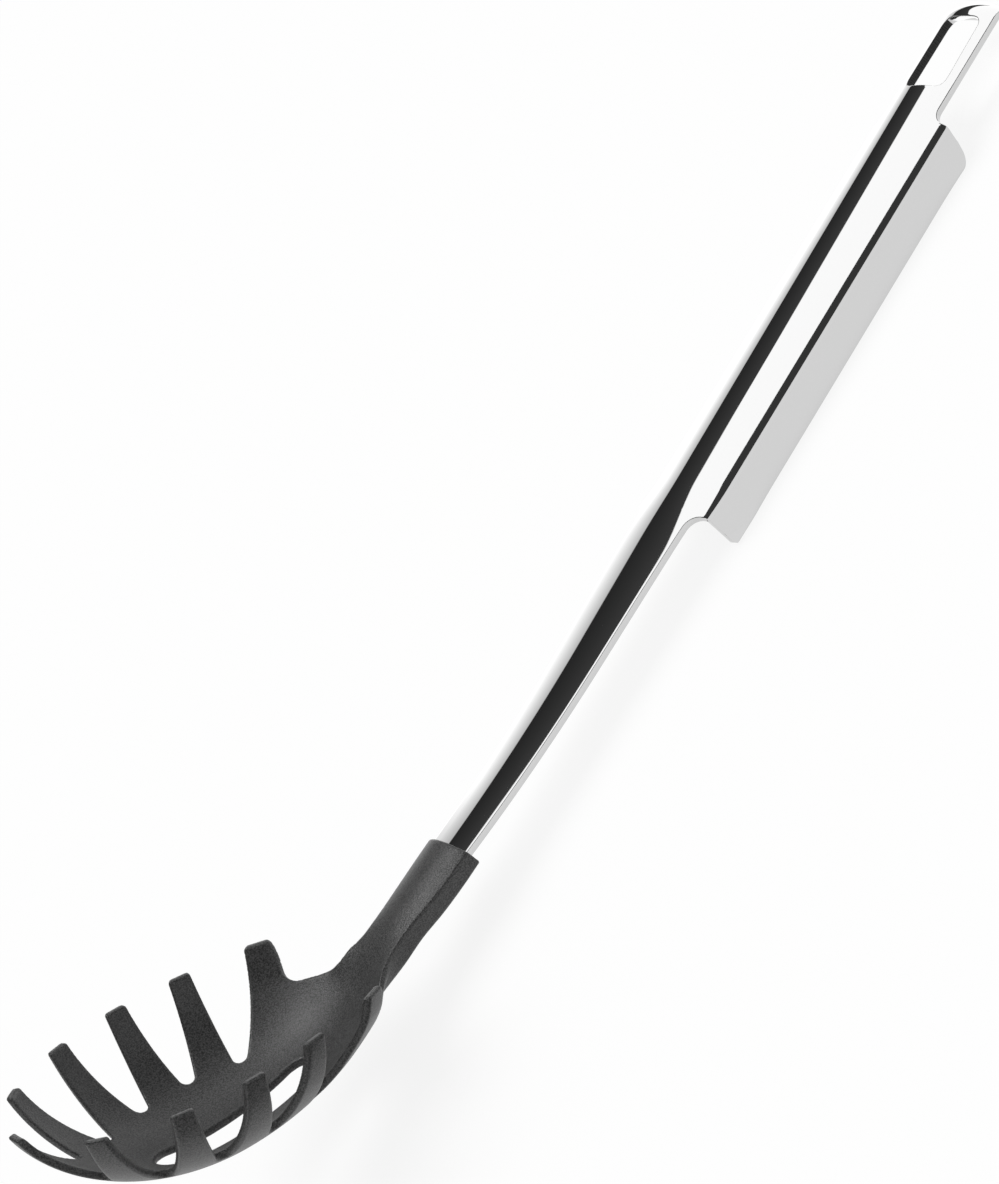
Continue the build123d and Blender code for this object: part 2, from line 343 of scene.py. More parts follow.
def sheet_point(s, v, depth):
    """A point of the sheet: s along it, v across it from the crown line, depth below the outer face.
    Its section is carried along a line that is straight over the grip, bent upwards towards the head
    and curled down past the window, each as an arc."""
    half, z = section_point(s, np.abs(v), depth)
    bend = np.clip((X_BEND - s) / BEND_RADIUS, 0, None)
    curl = np.clip((s - X_CURL) / CURL_RADIUS, 0, None)
    x = np.clip(s, X_BEND, X_CURL) - (BEND_RADIUS - z) * np.sin(bend) + (CURL_RADIUS + z) * np.sin(curl)
    z = np.where(s < X_BEND, BEND_RADIUS - (BEND_RADIUS - z) * np.cos(bend), z)
    z = np.where(s > X_CURL, (CURL_RADIUS + z) * np.cos(curl) - CURL_RADIUS, z)
    return np.stack([x, np.sign(v) * half, z], axis=-1)


def quarter(distance, radius):
    """How far a rounded corner of this radius stands back at a distance inside its end: the radius
    less the height of its quarter circle there."""
    d = np.clip(radius - distance, 0, radius)
    return radius - np.sqrt(radius ** 2 - d ** 2)


def across(y):
    """Distance from the crown line along the sheet's surface to a point y beside it in plan: the arc's
    radius times its angle on the crown, and on past its end on the fold."""
    crown_half = CROWN_RADIUS * math.sin(FOLD_START)
    crown = CROWN_RADIUS * np.arcsin(np.clip(y / CROWN_RADIUS, 0, math.sin(FOLD_START)))
    fold_y = (CROWN_RADIUS - FOLD_RADIUS) * math.sin(FOLD_START)
    turn = np.arcsin(np.clip((y - fold_y) / FOLD_RADIUS, math.sin(FOLD_START), 1))
    return np.where(y < crown_half, crown, V_FOLD + FOLD_RADIUS * (turn - FOLD_START))


def spaced(*marks):
    """Even steps between marks, given as place and number of steps to the next one."""
    runs = [np.linspace(a, b, n, endpoint=False) for (a, n), (b, _) in zip(marks[:-1], marks[1:])]
    return np.concatenate(runs + [[marks[-1][0]]])


def grid_faces(rows, columns, keep=None):
    """Quads of a grid of points numbered row by row, without the cells that keep leaves out."""
    n = np.arange(rows * columns).reshape(rows, columns)
    quads = np.stack([n[:-1, :-1], n[1:, :-1], n[1:, 1:], n[:-1, 1:]], axis=-1)
    return quads[keep] if keep is not None else quads.reshape(-1, 4)


def on_grip(s):
    """Which rows lie on the grip, where the skirts are folded down."""
    return (s > X_GRIP + EDGE_ROUNDING / 2) & (s < X_GRIP_END - EDGE_ROUNDING / 2)


def core_half(s):
    """Half width of the sheet without its skirts, inside the rounding of its edge: the tapered shaft,
    the grip and the loop, with fillets between them and round corners at both ends."""
    e = EDGE_ROUNDING
    shaft = np.interp(
        s, (X_TANG_END, X_MOUTH, X_GRIP), (TANG_END_HALF, SHAFT_MOUTH_HALF, SHAFT_GRIP_HALF)
    )
    shaft = shaft - e + quarter(X_GRIP + e - s, LOWER_FILLET - e)
    loop = LOOP_HALF - e + quarter(s - X_GRIP_END + e, UPPER_FILLET - e)
    half = np.where(s < X_GRIP, shaft, loop)
    half = np.where(on_grip(s), SHAFT_GRIP_HALF - e + LOWER_FILLET - e, half)
    return half - quarter(s - X_TANG_END, TANG_CORNER) - quarter(S_LOOP_END - e - s, LOOP_CORNER - e)


def window_half(s, near, far):
    """Half width of the window, outside the rounding of its edge: it narrows evenly from its near end
    to its far one, less the rounded corners."""
    e = EDGE_ROUNDING
    share = np.clip((s - near) / (far - near), 0, 1)
    half = WINDOW_NEAR_HALF + (WINDOW_FAR_HALF - WINDOW_NEAR_HALF) * share + e
    from_end = np.where(s < (near + far) / 2, s - near, far - s)
    return half - quarter(from_end, WINDOW_CORNER + e)


def core_patch():
    """The flat net of the sheet without its skirts: rows across it as wide as the blank, each with
    its points closer over the window's rails, and the window's cells left out."""
    e = EDGE_ROUNDING
    near, far = WINDOW_START - e, WINDOW_END + e
    s = spaced(
        (X_TANG_END, 8), (X_TANG_END + TANG_END_ROWS, 10), (X_MOUTH, 80),
        (X_GRIP - LOWER_FILLET - FILLET_ROWS, 22), (X_GRIP + e, 4), (X_GRIP + GRIP_START_ROWS, 96),
        (X_GRIP_END - GRIP_END_ROWS, 14), (X_GRIP_END - e, 22),
        (X_GRIP_END + UPPER_FILLET + FILLET_ROWS, 8), (near, 12), (near + WINDOW_CORNER + e, 24),
        (far - WINDOW_CORNER - e, 12), (far, 2), (X_CURL, 8), (S_LOOP_END - LOOP_END_ROWS, 12),
        (S_LOOP_END - e, 1),
    )
    half = core_half(s)
    edge = across(half)
    hole = across(np.minimum(window_half(s, near, far), np.maximum(half - LEAST_RAIL, half / 2)))
    middle_share = np.linspace(-1, 1, MIDDLE_POINTS)
    rail_share = np.linspace(0, 1, RAIL_POINTS)[1:]
    rail = hole[:, None] + (edge - hole)[:, None] * rail_share
    v = np.concatenate([-rail[:, ::-1], hole[:, None] * middle_share, rail], axis=1)
    points = np.stack([np.broadcast_to(s[:, None], v.shape), v], axis=-1)
    rows, columns = v.shape
    middle = (s[:-1] + s[1:]) / 2
    keep = np.ones((rows - 1, columns - 1), dtype=bool)
    first = len(rail_share)
    keep[np.ix_((middle > near) & (middle < far), np.arange(first, first + MIDDLE_POINTS - 1))] = False
    grip = on_grip(s)
    return points.reshape(-1, 2), grid_faces(rows, columns, keep), s[grip], edge[grip][0]


def skirt_patch(s, start, side):
    """The flat net of one skirt: its rows start on the core's edge and end at the lip, whose two
    corners are round and whose two ends slant inwards along the grip."""
    e = EDGE_ROUNDING
    lip = V_LIP - e
    lip = lip - quarter(s - s[0], SKIRT_LOWER_CORNER - e) - quarter(s[-1] - s, SKIRT_UPPER_CORNER - e)
    v = start + (lip - start)[:, None] * np.linspace(0, 1, SKIRT_POINTS)
    from_lower, from_upper = (
        np.clip(1 - gone / SLANT_LENGTH, 0, 1)[:, None] ** 2 for gone in (s - s[0], s[-1] - s)
    )
    out = (v - start) / (V_LIP - start)
    slant = (SKIRT_UPPER_SLANT * from_upper + SKIRT_LOWER_SLANT * from_lower * out) * out
    points = np.stack([s[:, None] - slant, side * v], axis=-1)
    faces = grid_faces(*v.shape)
    return points.reshape(-1, 2), faces if side > 0 else faces[:, ::-1]


def joined(patches):
    """Patches as one net, where points at the same place become one point."""
    before = np.cumsum([0] + [len(points) for points, _ in patches[:-1]])
    net = np.concatenate([points for points, _ in patches])
    quads = np.concatenate([faces + count for (_, faces), count in zip(patches, before)])
    places = np.round(net, JOIN_DECIMALS)
    _, first, number = np.unique(places, axis=0, return_index=True, return_inverse=True)
    return net[first], number.ravel()[quads]


def rim_of(net, quads):
    """The edges that one quad alone has, and the direction out of the net at each."""
    edges = np.concatenate([quads[:, [k, (k + 1) % 4]] for k in range(4)])
    there = edges[:, 0].astype(np.int64) * len(net) + edges[:, 1]
    back = edges[:, 1].astype(np.int64) * len(net) + edges[:, 0]
    rim = edges[~np.isin(there, back)]
    along = net[rim[:, 1]] - net[rim[:, 0]]
    along /= np.linalg.norm(along, axis=1, keepdims=True)
    return rim, np.stack([along[:, 1], -along[:, 0]], axis=-1)


def rim_moves(net, rim, outward):
    """The points on the rim, and how far each moves for every millimetre that the rim grows: along
    the middle of its two edges' directions, and further at a corner."""
    total = np.zeros_like(net)
    np.add.at(total, rim[:, 0], outward)
    np.add.at(total, rim[:, 1], outward)
    on_rim = np.unique(rim)
    length = np.linalg.norm(total[on_rim], axis=1, keepdims=True)
    return on_rim, total[on_rim] / length * np.clip(2 / length, 1, MITRE_LIMIT)


def in_window(net, rim, outward):
    """Which edges of the rim lie on the window's two long sides."""
    middle = (net[rim[:, 0]] + net[rim[:, 1]]) / 2
    beside = np.abs(middle[:, 1]) < WINDOW_NEAR_HALF + WALL_MARGIN
    along = (middle[:, 0] > WINDOW_START) & (middle[:, 0] < WINDOW_END)
    return along & beside & (np.abs(outward[:, 1]) > WALL_SIDEWAYS)


def make_handle(polished, punched_painted_shade):
    """The pressed sheet: a flat net of its outer face is carried to both faces by sheet_point, and
    its rim is closed by strips whose profile is a quarter circle, a straight and a quarter circle.
    The window's two long walls have the rough punched finish, with its dark grey as painted shade."""
    core, core_faces, s_grip, start = core_patch()
    skirts = [skirt_patch(s_grip, start, side) for side in (-1, 1)]
    net, quads = joined([(core, core_faces)] + skirts)
    rim, outward = rim_of(net, quads)
    on_rim, moves = rim_moves(net, rim, outward)

    profile = [(EDGE_ROUNDING * math.sin(t), EDGE_ROUNDING * (1 - math.cos(t))) for t in EDGE_TURNS]
    profile += [(reach, SHEET - depth) for reach, depth in profile[::-1]]
    rings = [sheet_point(net[:, 0], net[:, 1], depth) for depth in (0.0, SHEET)]
    for reach, depth in profile:
        spot = net[on_rim] + moves * reach
        rings.append(sheet_point(spot[:, 0], spot[:, 1], depth))

    place = np.zeros(len(net), dtype=int)
    place[on_rim] = np.arange(len(on_rim))
    lines = [rim]
    lines += [place[rim] + 2 * len(net) + k * len(on_rim) for k in range(len(profile))]
    lines.append(rim + len(net))
    strips = [np.stack([a[:, 1], a[:, 0], b[:, 0], b[:, 1]], axis=-1) for a, b in zip(lines[:-1], lines[1:])]
    faces = np.concatenate([quads, quads[:, ::-1] + len(net)] + strips)
    walls = [in_window(net, rim, outward)] * len(strips)
    slots = np.concatenate([np.zeros(2 * len(quads), dtype=int)] + walls)
    points = to_frame(np.concatenate(rings))
    return mesh_object("polished_sheet", points, faces, polished, punched_painted_shade, slots=slots)


# Head

def rounded_max(a, b, radius):
    """Larger of two distances, with the edge where they meet rounded to a radius: within the radius of
    both, it is the distance from the rounding's centre less the radius."""
    u = np.clip(a + radius, 0, None)
    v = np.clip(b + radius, 0, None)
    return np.minimum(-radius, np.maximum(a, b)) + np.sqrt(u * u + v * v)


def tip_frame(p):
    """Distances behind the front tooth along the tip plane, beside it, and above the plane: a turn by
    the tilt about the front tooth's end."""
    x, y, z = p[..., 0], p[..., 1], p[..., 2] - TIP_HEIGHT
    return x * math.cos(TILT) - z * math.sin(TILT), np.abs(y), x * math.sin(TILT) + z * math.cos(TILT)


def ellipsoid(u, v, w, inset):
    """Distance to two half ellipsoids that meet at the widest section, true enough close to them: the
    scaled radius, times what it has over one, divided by the length of its scaled slope."""
    x = u - TIP_FRONT
    z = w - BOWL_RISE
    a = np.where(x < 0, BOWL_FRONT, BOWL_REAR) - inset
    b = BOWL_HALF - inset
    c = BOWL_DEPTH - inset
    scaled = np.sqrt((x / a) ** 2 + (v / b) ** 2 + (z / c) ** 2)
    slope = np.sqrt((x / a ** 2) ** 2 + (v / b ** 2) ** 2 + (z / c ** 2) ** 2)
    return scaled * (scaled - 1) / np.maximum(slope, HAIR)


def tooth_corners():
    """Front and rear corner of each tooth's end: half its width to each side of its middle, along the
    tangent of the tip plane's ellipse."""
    corners = [(np.array([0.0, TOOTH_TIP / 2]),) * 2]
    for setback in TOOTH_SETBACKS:
        along = setback - TIP_FRONT
        axis = TIP_FRONT if along < 0 else TIP_REAR
        y = TIP_SIDE * math.sqrt(1 - (along / axis) ** 2)
        tangent = np.array([y / TIP_SIDE, -along * TIP_SIDE / axis ** 2])
        step = tangent / np.linalg.norm(tangent) * TOOTH_TIP / 2
        corners.append((np.array([setback, y]) - step, np.array([setback, y]) + step))
    return corners


def wedge(u, v, floor, first, last):
    """Distance to a V-shaped gap: two straight sides through the corners of its teeth that touch a
    circle at its floor."""
    angles = []
    for corner, sign in ((first, 1), (last, -1)):
        dx, dy = corner - floor
        angles.append(math.atan2(dy, dx) - sign * math.asin(GAP_FLOOR_RADIUS / math.hypot(dx, dy)))
    if angles[0] < angles[1]:
        angles[0] += 2 * math.pi
    middle = sum(angles) / 2
    half = abs(angles[0] - angles[1]) / 2
    du, dv = u - floor[0], v - floor[1]
    out = du * math.cos(middle) + dv * math.sin(middle)
    beside = np.abs(-du * math.sin(middle) + dv * math.cos(middle))
    behind = out * math.cos(half) + beside * math.sin(half) < 0
    sides = beside * math.cos(half) - out * math.sin(half)
    return np.where(behind, np.hypot(du, dv), sides) - GAP_FLOOR_RADIUS


def neck_distance(p):
    """Distance to the neck: a top arched as a parabola, leaning sides and a flat floor, whose sizes
    follow cubic curves through the neck's stations."""
    x, y, z = p[..., 0], np.abs(p[..., 1]), p[..., 2]
    place = np.clip((x - NECK[0, 0]) / (NECK[1, 0] - NECK[0, 0]), 0, last_place(NECK))
    top, foot, edge, crown, base = np.moveaxis(through(NECK[:, 1:], place), -1, 0)
    arch = crown + (edge - crown) * np.clip(y / top, 0, ARCH_REACH) ** 2
    over = (z - arch) / np.sqrt(1 + (2 * (edge - crown) * y / top ** 2) ** 2)
    beside = ((y - foot) * (edge - base) - (z - base) * (top - foot)) / np.hypot(edge - base, top - foot)
    body = rounded_max(rounded_max(over, beside, NECK_TOP_EDGE), base - z, NECK_FLOOR_EDGE)
    body = rounded_max(body, x - NECK[-1, 0], MOUTH_EDGE)
    return np.maximum(body, NECK[0, 0] - x)


def scoop_distance(x, y):
    """Distance in plan to the scoop, whose rim is a smooth curve through listed points: the
    distance to its nearest side, less than zero where a line beside the point crosses an odd number
    of sides."""
    rim = through(SCOOP_RIM, np.linspace(0, last_place(SCOOP_RIM), (len(SCOOP_RIM) - 1) * RIM_STEPS))
    nearest = np.full(x.shape, np.inf)
    inside = np.zeros(x.shape, dtype=bool)
    outside = [(rim[-1, 0], SCOOP_OUTSIDE), (rim[0, 0], SCOOP_OUTSIDE)]
    closed = np.concatenate([rim, outside, rim[:1]])
    for (ax, ay), (bx, by) in zip(closed[:-1], closed[1:]):
        dx, dy = bx - ax, by - ay
        f = np.clip(((x - ax) * dx + (y - ay) * dy) / (dx * dx + dy * dy), 0, 1)
        nearest = np.minimum(nearest, np.hypot(x - ax - f * dx, y - ay - f * dy))
        inside ^= ((ay > y) != (by > y)) & (x < ax + (y - ay) * dx / (dy if dy else HAIR))
    return np.where(inside, -nearest, nearest)


def bowl_distance(p):
    """Distance to the bowl's wall under the tip plane, with its gaps and its drain slot cut out, and
    the distance to its inner face. The two rearmost teeth lean outwards a little."""
    u, v, w = tip_frame(p)
    lean = eased((u - LEAN_FROM_U) / LEAN_RUN) * eased((w - LEAN_FROM_W) / LEAN_RUN)
    u = u - LEAN_BACK * lean
    v = v * (1 - LEAN_OUT_SHARE * lean)
    inner = ellipsoid(u, v, w, WALL)
    wall = rounded_max(ellipsoid(u, v, w, 0.0), -inner, CREST_EDGE)
    outline = w
    corners = tooth_corners()
    for floor, first, last in zip(GAP_FLOORS, corners[:-1], corners[1:]):
        outline = rounded_max(outline, -wedge(u, v, np.array(floor), first[1], last[0]), GAP_EDGE)
    ends = np.clip(u, DRAIN_START + DRAIN_HALF, DRAIN_END - DRAIN_HALF)
    drain = np.hypot(u - ends, v) - DRAIN_HALF
    return rounded_max(wall, rounded_max(outline, -drain, DRAIN_EDGE), RIM_EDGE), inner


def head_distance(p):
    """Distance to the head's surface, less than zero inside: the bowl turns into the neck as an eased
    share of the two distances, the neck's floor runs on below the bowl's wall, and the scoops are cut
    from both."""
    x, y = p[..., 0], np.abs(p[..., 1])
    bowl, inner = bowl_distance(p)
    neck = neck_distance(p)
    share = eased((x - JUNCTION_START) / (JUNCTION_END - JUNCTION_START))
    share = share * eased((JUNCTION_HALF - y) / JUNCTION_FADE)
    under_bowl = np.maximum(neck, WALL / 2 - inner)
    body = np.minimum(bowl + (neck - bowl) * share, under_bowl)
    near = (x > SCOOP_FROM) & (np.abs(body) < NEAR_SURFACE)
    if near.any():
        body[near] = rounded_max(body[near], -scoop_distance(x[near], y[near]), RIM_EDGE)
    return body


def sampled(distance, low, high, step):
    """A distance function that is the same on both sides of XZ, at the points of a cubic grid whose
    middle row lies on that plane: the grid's three axes and the values."""
    counts = [int(math.ceil((b - a) / step)) + 1 for a, b in zip(low, high)]
    counts[1] = 2 * (counts[1] // 2) + 1
    axes = [a + step * np.arange(n) for a, n in zip(low, counts)]
    half = counts[1] // 2
    axes[1] = step * (np.arange(counts[1]) - half)
    field = np.empty(counts, dtype=np.float32)
    for i, x in enumerate(axes[0]):
        y, z = np.meshgrid(axes[1][half:], axes[2], indexing="ij")
        field[i, half:] = distance(np.stack([np.full_like(y, x), y, z], axis=-1))
    field[:, :half] = field[:, :half:-1]
    return axes, field


def cell_points(field):
    """One point in each cell of the grid that the surface passes through, in steps of the grid: the
    mean of the places where it crosses the cell's edges. Also the cells' numbers, and which grid
    edges it crosses along each axis."""
    inside = field < 0
    shape = [n - 1 for n in field.shape]
    total = np.zeros(shape + [3], dtype=np.float32)
    hits = np.zeros(shape, dtype=np.float32)
    crossings = []
    for axis in range(3):
        start = tuple(slice(None, -1) if other == axis else slice(None) for other in range(3))
        end = tuple(slice(1, None) if other == axis else slice(None) for other in range(3))
        cross = inside[start] != inside[end]
        share = np.where(cross, field[start] / np.where(cross, field[start] - field[end], 1), 0)
        crossings.append(cross)
        others = [other for other in range(3) if other != axis]
        for corner in ((0, 0), (0, 1), (1, 0), (1, 1)):
            window = [slice(None)] * 3
            for other, offset in zip(others, corner):
                window[other] = slice(offset, shape[other] + offset)
            hit = cross[tuple(window)]
            hits += hit
            total[..., axis] += share[tuple(window)]
            for other, offset in zip(others, corner):
                total[..., other] += hit * offset
    active = hits > 0
    number = np.full(shape, -1, dtype=np.int64)
    number[active] = np.arange(active.sum())
    return np.argwhere(active) + total[active] / hits[active][:, None], number, crossings


def cell_quads(field, number, crossings):
    """A quad for each grid edge that the surface crosses, through the points of the four cells round
    the edge, facing outwards."""
    faces = []
    for axis, cross in enumerate(crossings):
        edge = np.argwhere(cross)
        b, c = [(axis + 1) % 3, (axis + 2) % 3]
        inner = (edge[:, b] > 0) & (edge[:, c] > 0)
        edge = edge[inner & (edge[:, b] < number.shape[b]) & (edge[:, c] < number.shape[c])]
        around = []
        for db, dc in ((-1, -1), (0, -1), (0, 0), (-1, 0)):
            cell = edge.copy()
            cell[:, b] += db
            cell[:, c] += dc
            around.append(number[tuple(cell.T)])
        quad = np.stack(around, axis=-1)
        leaving = field[tuple(edge.T)] < 0
        faces.append(np.where(leaving[:, None], quad, quad[:, ::-1]))
    return np.concatenate(faces)


def settled(points, faces, distance, step):
    """Points moved onto the zero level of a distance function by the distance over its slope, again
    and again. In the first rounds each also slides along the surface towards its neighbours' mean."""
    first, second = faces.ravel(), np.roll(faces, -1, axis=1).ravel()
    count = len(points)
    neighbours = np.bincount(first, minlength=count) + np.bincount(second, minlength=count)
    for round_number in range(SETTLING_ROUNDS):
        here = distance(points)
        slope = np.stack([
            distance(points + probe) - distance(points - probe) for probe in np.eye(3) * step * PROBE_SHARE
        ], axis=-1) / (step * 2 * PROBE_SHARE)
        size = np.maximum((slope ** 2).sum(axis=1), LEAST_SLOPE)
        move = np.clip(here / size, -step / 2, step / 2)
        points = points - slope * move[:, None]
        if round_number < SMOOTHING_ROUNDS:
            total = np.stack([
                np.bincount(first, points[second, k], count) + np.bincount(second, points[first, k], count)
                for k in range(3)
            ], axis=-1)
            drift = total / neighbours[:, None] - points
            normal = slope / np.sqrt(size)[:, None]
            points = points + SMOOTHING_SHARE * (drift - (drift * normal).sum(axis=1)[:, None] * normal)
    return points


def make_head(material):
    """The moulding as one closed skin on the zero level of head_distance."""
    step = HEAD_STEP
    axes, field = sampled(head_distance, HEAD_LOW, HEAD_HIGH, step)
    cells, number, crossings = cell_points(field)
    faces = cell_quads(field, number, crossings)
    points = np.array([axis[0] for axis in axes]) + cells * step
    points = settled(points, faces, head_distance, step)
    return mesh_object("moulded_head", to_frame(points), faces, material)


# Materials

class Value:
    """A shader value that can be reckoned with: one output socket of a node tree, whose operators
    turn a Python expression into Math nodes."""

    def __init__(self, tree, socket):
        self.tree = tree
        self.socket = socket

    @staticmethod
    def node(tree, kind, settings, inputs, output=0):
        """Adds a node, sets its settings first, a ramp's stops among them, then its inputs by place
        or name, as numbers or links, and wraps one of its outputs."""
        made = tree.nodes.new("ShaderNode" + kind)
        for key, value in settings.items():
            if key == "stops":
                set_stops(made.color_ramp.elements, value)
            else:
                setattr(made, key, value)
        pairs = inputs.items() if isinstance(inputs, dict) else enumerate(inputs)
        for key, value in pairs:
            if isinstance(value, Value):
                tree.links.new(value.socket, made.inputs[key])
            else:
                made.inputs[key].default_value = value
        return Value(tree, made.outputs[output])

    def output(self, key):
        """Another output of the same node."""
        return Value(self.tree, self.socket.node.outputs[key])

    def feed(self, target, name):
        """Links the value to an input of a node that is already there."""
        self.tree.links.new(self.socket, target.inputs[name])

    def _math(self, operation, *values):
        return Value.node(self.tree, "Math", {"operation": operation}, values)

    def __add__(self, other):
        return self._math("ADD", self, other)

    def __radd__(self, other):
        return self._math("ADD", other, self)

    def __sub__(self, other):
        return self._math("SUBTRACT", self, other)

    def __rsub__(self, other):
        return self._math("SUBTRACT", other, self)

    def __mul__(self, other):
        return self._math("MULTIPLY", self, other)

    def __rmul__(self, other):
        return self._math("MULTIPLY", other, self)

    def __truediv__(self, other):
        return self._math("DIVIDE", self, other)

    def __rtruediv__(self, other):
        return self._math("DIVIDE", other, self)

    def or_larger(self, other):
        """The larger of two values."""
        return self._math("MAXIMUM", self, other)

    def above(self, limit):
        """1 where the value is above a limit and 0 elsewhere."""
        return self._math("GREATER_THAN", self, limit)


def set_stops(elements, stops):
    """Gives a colour ramp its stops, each a place and a grey."""
    while len(elements) < len(stops):
        elements.new(0.5)
    for element, (place, level) in zip(elements, stops):
        element.position = place
        element.color = grey(level)


def grey(level):
    """A grey as a colour."""
    return (level, level, level, 1)


def new_material(name, constants):
    """A material with constants on its Principled shader's own sockets, its tree and that shader."""
    material = bpy.data.materials.new(name)
    material.use_nodes = True
    shader = material.node_tree.nodes["Principled BSDF"]
    for key, value in constants.items():
        shader.inputs[key].default_value = value
    return material, material.node_tree, shader


def tinted(colour, value):
    """A colour times a value, in the colour sockets of a Mix node: 0 is its factor, 6 and 7 are its
    two colours, and 2 is its result."""
    settings = {"data_type": "RGBA", "blend_type": "MULTIPLY"}
    return Value.node(colour.tree, "Mix", settings, {0: 1.0, 6: colour, 7: value}, 2)


def own_place(tree):
    """A piece's own coordinates, in metres."""
    return Value.node(tree, "TexCoord", {}, {}, "Object")


def noise(tree, grain):
    """Noise over a piece's own coordinates, given by its scale per metre and its detail."""
    scale, detail = grain
    return Value.node(
        tree, "TexNoise", {}, {"Vector": own_place(tree), "Scale": scale, "Detail": detail}, "Fac"
    )


def nylon_material():
    """Dark charcoal moulded nylon: light flecks, a fine grain in relief and a slow change of gloss."""
    material, tree, shader = new_material("nylon", {"Specular IOR Level": NYLON_SPECULAR})
    flecks = noise(tree, NYLON_FLECKS)
    Value.node(tree, "ValToRGB", {"stops": NYLON_FLECK_STOPS}, {"Fac": flecks}).feed(shader, "Base Color")
    gloss = noise(tree, NYLON_CLOUD) * NYLON_CLOUD_ROUGHNESS + NYLON_ROUGHNESS
    gloss.feed(shader, "Roughness")
    grain = noise(tree, NYLON_GRAIN)
    relief = {"Strength": NYLON_GRAIN_STRENGTH, "Distance": NYLON_GRAIN_HEIGHT, "Height": grain}
    Value.node(tree, "Bump", {}, relief, "Normal").feed(shader, "Normal")
    return material


def steel_material():
    """Sheet steel polished to a mirror, with the faintest unevenness of the polish."""
    material, tree, shader = new_material("steel", {"Base Color": grey(STEEL_GREY), "Metallic": 1.0})
    haze = noise(tree, STEEL_HAZE)
    (haze * STEEL_HAZE_ROUGHNESS + STEEL_ROUGHNESS).feed(shader, "Roughness")
    return material


def punched_painted_shade_material():
    """The window's punched walls: dull metal with fine lines across the sheet's length, painted dark grey as
    painted shade.
    """
    material, tree, shader = new_material("punched_steel_painted_shade", {"Metallic": 1.0})
    along = Value.node(tree, "SeparateXYZ", {}, [own_place(tree)])
    places = {"W": along, "Scale": PUNCHED_LINE_SCALE}
    lines = Value.node(tree, "TexNoise", {"noise_dimensions": "1D"}, places, "Fac")
    (lines * PUNCHED_LINE_ROUGHNESS + PUNCHED_ROUGHNESS).feed(shader, "Roughness")
    # Painted shade: the walls' dark grey stands in for the shade on them
    Value.node(tree, "ValToRGB", {"stops": PUNCHED_SHADE_STOPS}, {"Fac": lines}).feed(shader, "Base Color")
    return material


# Stage

def panel(name, centre, right, up, material):
    """A flat card: half sizes are the lengths of its two arms."""
    centre, right, up = (np.array(v, dtype=float) for v in (centre, right, up))
    points = np.stack([centre - right - up, centre + right - up, centre + right + up, centre - right + up])
    piece = mesh_object(name, points, np.array([[0, 1, 2, 3]]), material)
    return piece


def only_reflected(piece):
    """Hides a card from everything but reflections."""
    for kind in ("camera", "diffuse", "transmission", "volume_scatter", "shadow"):
        setattr(piece, "visible_" + kind, False)


def reflector(name, angles, material, span=CARD_SPAN, distance=CARD_DISTANCE):
    """A card that only reflections see, long in X, square to a direction in the YZ plane. The angles
    are that direction's and those of its two edges, and span is its reach in X from the cards'
    middle."""
    angle, low, high = (math.radians(a) for a in angles)
    toward = np.array([0.0, math.sin(angle), math.cos(angle)])
    beside = np.array([0.0, math.cos(angle), -math.sin(angle)])
    t = [distance * math.tan(edge - angle) for edge in (low, high)]
    centre = np.array([CARD_MIDDLE + sum(span) / 2, 0, 0]) + toward * distance + beside * sum(t) / 2
    half = (span[1] - span[0]) / 2 * MM
    only_reflected(panel(name, to_frame(centre), (half, 0, 0), beside * (t[1] - t[0]) / 2 * MM, material))


def seen_rays(tree):
    """1 for rays from the camera and those that glass or metal sends on, 0 for light."""
    camera = Value.node(tree, "LightPath", {}, {}, "Is Camera Ray")
    seen = camera.or_larger(camera.output("Is Glossy Ray"))
    return seen.or_larger(camera.output("Is Transmission Ray"))


def floor_material():
    """A white floor that keeps a soft shadow: part of what the camera, glass or metal sees of it is
    even white."""
    material, tree, shader = new_material(
        "floor", {"Base Color": grey(FLOOR_GREY), "Roughness": 1.0, "Specular IOR Level": 0.0}
    )
    even = Value.node(tree, "Emission", {}, {"Color": grey(1), "Strength": 1.0})
    share = seen_rays(tree) * FLOOR_GLOW_SHARE
    mixed = Value.node(tree, "MixShader", {}, [share, Value(tree, shader.outputs[0]), even])
    mixed.feed(tree.nodes["Material Output"], "Surface")
    return material


def glow_material(name, strength=1.0, level=1.0):
    """A card's material: its even glow alone."""
    return new_material(name, {
        "Base Color": grey(0), "Roughness": 1.0, "Specular IOR Level": 0.0,
        "Emission Color": grey(level), "Emission Strength": strength,
    })


def lamp_card():
    """The long lamp over the far side, the dark slot beside it and the wall below, as one card whose
    glow is a ramp across the slot. The slot's two edges run at a slant to the handle, and the wall
    carries painted shade beside the head."""
    angle = math.radians(LAMP_ANGLES[0])
    material, tree, shader = glow_material("lamp_and_slot", LAMP_GLOW)
    parts = Value.node(tree, "SeparateXYZ", {}, [own_place(tree)])
    x = parts - CARD_MIDDLE_X
    across_card = parts.output("Y") * math.cos(angle) - (parts.output("Z") - SHIFT[2] * MM) * math.sin(angle)
    low, high = (
        x * ((b - a) / (DARK_SLOT_X[1] - DARK_SLOT_X[0])) + (a + (b - a) * DARK_SLOT_MIDDLE_SHARE) * MM
        for a, b in DARK_SLOT_EDGES
    )
    share = (across_card - low) / (high - low)
    place = share * DARK_SLOT_RAMP_SHARE + DARK_SLOT_RAMP_SHARE
    ramp = Value.node(tree, "ValToRGB", {"stops": DARK_SLOT_STOPS}, {"Fac": place})
    beside_head = Value.node(tree, "MapRange", {}, {
        "Value": parts, "From Min": WALL_SHADE_X[0] * MM, "From Max": WALL_SHADE_X[1] * MM,
        "To Min": WALL_SHADE, "To Max": 0.0,
    })
    tinted(ramp, 1 - share.above(1.0) * beside_head).feed(shader, "Emission Color")
    reflector("lamp_and_slot", LAMP_ANGLES, material)


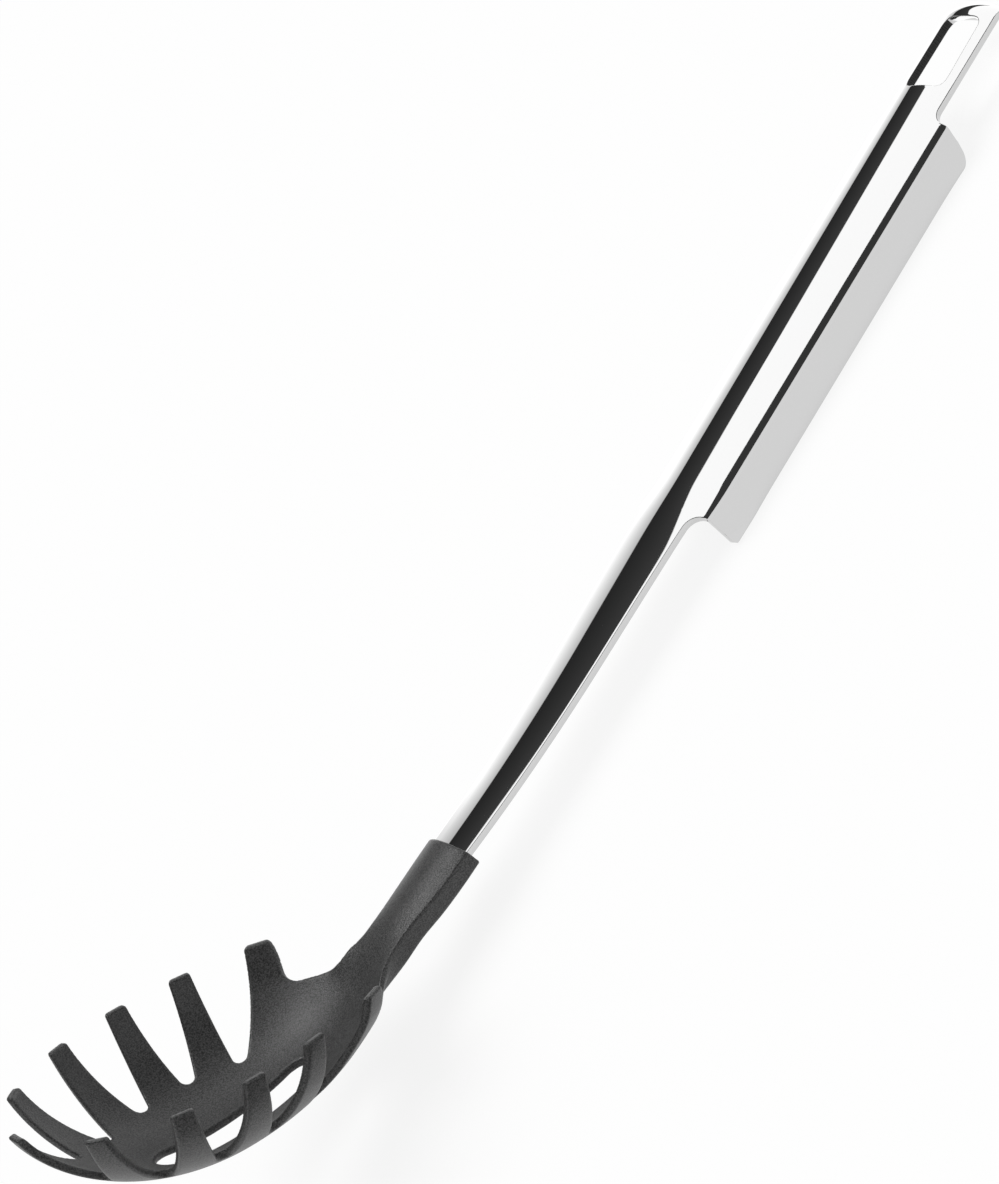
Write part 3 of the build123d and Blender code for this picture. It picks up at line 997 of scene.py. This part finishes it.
def even_card(name, angles, level, **where):
    """A card of one grey."""
    reflector(name, angles, glow_material(name, level=level)[0], **where)


def floor_card(name, x_range, y_range, level):
    """A patch of floor of one grey, for reflections: painted lamplight under the far lamp, where the
    handle's far flank reflects it, and painted shade before the head."""
    half = [(b - a) / 2 for a, b in (x_range, y_range)]
    centre = np.array([x_range[0] + half[0], y_range[0] + half[1], FLOOR_CARD_LIFT]) * MM
    material = glow_material(name, level=level)[0]
    only_reflected(panel(name, centre, (half[0] * MM, 0, 0), (0, half[1] * MM, 0), material))


def make_world():
    """Even surroundings: white where the camera, glass or metal sees them, softer as light."""
    world = bpy.data.worlds.new("studio")
    world.use_nodes = True
    bpy.context.scene.world = world
    background = world.node_tree.nodes["Background"]
    background.inputs["Color"].default_value = grey(1)
    strength = seen_rays(world.node_tree) * (1 - WORLD_LIGHT) + WORLD_LIGHT
    strength.feed(background, "Strength")


def make_lamp():
    """A wide soft lamp high over the far side, which lights but isn't seen in reflections."""
    data = bpy.data.lights.new("key", "SUN")
    data.energy = LAMP_POWER
    data.angle = LAMP_WIDTH
    lamp = bpy.data.objects.new("key", data)
    bpy.context.scene.collection.objects.link(lamp)
    lamp.matrix_world = Vector(LAMP_DIRECTION).to_track_quat("Z", "Y").to_matrix().to_4x4()
    lamp.visible_glossy = False


def make_camera():
    """The camera at the photo's viewing angle."""
    data = bpy.data.cameras.new("camera")
    data.sensor_width = CAMERA_SENSOR
    data.lens = CAMERA_LENS
    data.clip_start = CAMERA_NEAREST
    data.clip_end = CAMERA_FARTHEST
    camera = bpy.data.objects.new("camera", data)
    bpy.context.scene.collection.objects.link(camera)
    turned = Euler([math.radians(turn) for turn in CAMERA_TURNS]).to_matrix().to_4x4()
    camera.matrix_world = Matrix.Translation(to_frame(CAMERA_PLACE)) @ turned
    bpy.context.scene.camera = camera


handle = make_handle(steel_material(), punched_painted_shade_material())
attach(handle, "root")
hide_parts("handle")
head = make_head(nylon_material())
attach(head, "root")
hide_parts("head")

panel("floor", (0, 0, 0), (FLOOR_HALF * MM, 0, 0), (0, FLOOR_HALF * MM, 0), floor_material())
lamp_card()
# Floor patches: painted lamplight on the far side, painted shade on the near side
floor_card("far_floor", FAR_FLOOR_X, FAR_FLOOR_Y, LAMP_GLOW)
floor_card("near_floor", NEAR_FLOOR_X, NEAR_FLOOR_Y, NEAR_FLOOR_SHADE)
even_card("dark_ceiling", CEILING_ANGLES, CEILING_GREY)
even_card("head_lamp", HEAD_LAMP_ANGLES, HEAD_LAMP_GLOW, span=HEAD_LAMP_SPAN, distance=HEAD_LAMP_DISTANCE)
make_lamp()
make_world()
make_camera()
bpy.context.scene.view_settings.view_transform = "Standard"
